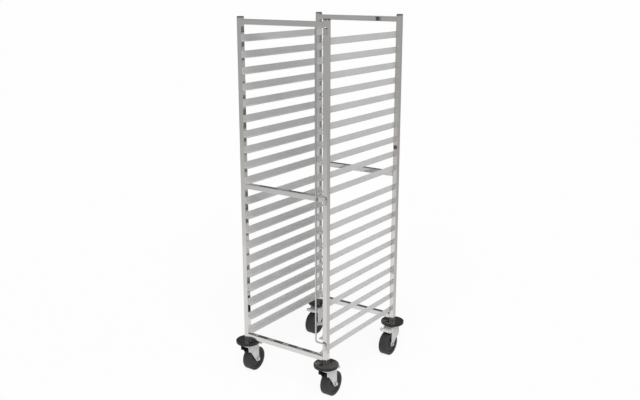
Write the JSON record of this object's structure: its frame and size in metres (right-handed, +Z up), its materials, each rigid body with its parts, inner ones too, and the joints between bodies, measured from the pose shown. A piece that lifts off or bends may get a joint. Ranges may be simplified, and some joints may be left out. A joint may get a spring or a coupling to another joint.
{
  "type": "sheet pan rack",
  "caption": "Tall open bakery rack of square stainless tube with stacked L-shaped tray runners, a swinging tray-stop rod and swivel casters under round bumpers.",
  "frame": {"origin": "on the floor under the middle of the rack", "axes": "+Z up, -Y towards the front where trays enter past the bail, +X to the right seen from the front"},
  "size_m": [0.6122, 0.7652, 1.8135],
  "materials": {
    "stainless": "fine brushed stainless sheet and tube",
    "bail_rod": "bright drawn stainless rod",
    "caster_steel": "bright zinc plate on pressed steel",
    "tyre": "dark grey solid tyre, satin",
    "bumper": "glossy black moulded plastic"
  },
  "bodies": {
    "rack": {"front_frame": "stainless", "rear_frame": "stainless", "runner_left_01": "stainless", "runner_left_02": "stainless", "runner_left_03": "stainless", "runner_left_04": "stainless", "runner_left_05": "stainless", "runner_left_06": "stainless", "runner_left_07": "stainless", "runner_left_08": "stainless", "runner_left_09": "stainless", "runner_left_10": "stainless", "runner_left_11": "stainless", "runner_left_12": "stainless", "runner_left_13": "stainless", "runner_left_14": "stainless", "runner_left_15": "stainless", "runner_left_16": "stainless", "runner_left_17": "stainless", "runner_left_18": "stainless", "runner_left_19": "stainless", "runner_left_20": "stainless", "runner_right_01": "stainless", "runner_right_02": "stainless", "runner_right_03": "stainless", "runner_right_04": "stainless", "runner_right_05": "stainless", "runner_right_06": "stainless", "runner_right_07": "stainless", "runner_right_08": "stainless", "runner_right_09": "stainless", "runner_right_10": "stainless", "runner_right_11": "stainless", "runner_right_12": "stainless", "runner_right_13": "stainless", "runner_right_14": "stainless", "runner_right_15": "stainless", "runner_right_16": "stainless", "runner_right_17": "stainless", "runner_right_18": "stainless", "runner_right_19": "stainless", "runner_right_20": "stainless", "bumper_front_left": "bumper", "bumper_front_right": "bumper", "bumper_rear_left": "bumper", "bumper_rear_right": "bumper"},
    "bail": {"tray_stop_bail": "bail_rod"},
    "swivel_front_left": {"fork_front_left": "caster_steel"},
    "swivel_front_right": {"fork_front_right": "caster_steel"},
    "swivel_rear_left": {"fork_rear_left": "caster_steel"},
    "swivel_rear_right": {"fork_rear_right": "caster_steel"},
    "rolling_front_left": {"wheel_front_left": "tyre"},
    "rolling_front_right": {"wheel_front_right": "tyre"},
    "rolling_rear_left": {"wheel_rear_left": "tyre"},
    "rolling_rear_right": {"wheel_rear_right": "tyre"},
    "pedal_front_left": {"brake_pedal_front_left": "caster_steel"},
    "pedal_front_right": {"brake_pedal_front_right": "caster_steel"},
    "pedal_rear_left": {"brake_pedal_rear_left": "caster_steel"},
    "pedal_rear_right": {"brake_pedal_rear_right": "caster_steel"}
  },
  "joints": [
    {"name": "bail_swing", "type": "hinge", "parent": "rack", "child": "bail", "pos_m": [0.2505, -0.3395, 0.2895], "axis": [0, 0, 1], "range_deg": [0, 180]},
    {"name": "caster_swivel_front_left", "type": "hinge", "parent": "rack", "child": "swivel_front_left", "pos_m": [-0.2443, -0.3208, 0.166], "axis": [0, 0, 1], "continuous": true},
    {"name": "caster_swivel_front_right", "type": "hinge", "parent": "rack", "child": "swivel_front_right", "pos_m": [0.2443, -0.3208, 0.166], "axis": [0, 0, 1], "continuous": true},
    {"name": "caster_swivel_rear_left", "type": "hinge", "parent": "rack", "child": "swivel_rear_left", "pos_m": [-0.2443, 0.3208, 0.166], "axis": [0, 0, 1], "continuous": true},
    {"name": "caster_swivel_rear_right", "type": "hinge", "parent": "rack", "child": "swivel_rear_right", "pos_m": [0.2443, 0.3208, 0.166], "axis": [0, 0, 1], "continuous": true},
    {"name": "wheel_spin_front_left", "type": "hinge", "parent": "swivel_front_left", "child": "rolling_front_left", "pos_m": [-0.2443, -0.2778, 0.0625], "axis": [1, 0, 0], "continuous": true},
    {"name": "wheel_spin_front_right", "type": "hinge", "parent": "swivel_front_right", "child": "rolling_front_right", "pos_m": [0.2443, -0.2778, 0.0625], "axis": [1, 0, 0], "continuous": true},
    {"name": "wheel_spin_rear_left", "type": "hinge", "parent": "swivel_rear_left", "child": "rolling_rear_left", "pos_m": [-0.2443, 0.2778, 0.0625], "axis": [1, 0, 0], "continuous": true},
    {"name": "wheel_spin_rear_right", "type": "hinge", "parent": "swivel_rear_right", "child": "rolling_rear_right", "pos_m": [0.2443, 0.2778, 0.0625], "axis": [1, 0, 0], "continuous": true},
    {"name": "brake_press_front_left", "type": "hinge", "parent": "swivel_front_left", "child": "pedal_front_left", "pos_m": [-0.2443, -0.3068, 0.1495], "axis": [-1, 0, 0], "range_deg": [0, 12]},
    {"name": "brake_press_front_right", "type": "hinge", "parent": "swivel_front_right", "child": "pedal_front_right", "pos_m": [0.2443, -0.3068, 0.1495], "axis": [-1, 0, 0], "range_deg": [0, 12]},
    {"name": "brake_press_rear_left", "type": "hinge", "parent": "swivel_rear_left", "child": "pedal_rear_left", "pos_m": [-0.2443, 0.3068, 0.1495], "axis": [1, 0, 0], "range_deg": [0, 12]},
    {"name": "brake_press_rear_right", "type": "hinge", "parent": "swivel_rear_right", "child": "pedal_rear_right", "pos_m": [0.2443, 0.3068, 0.1495], "axis": [1, 0, 0], "range_deg": [0, 12]}
  ]
}
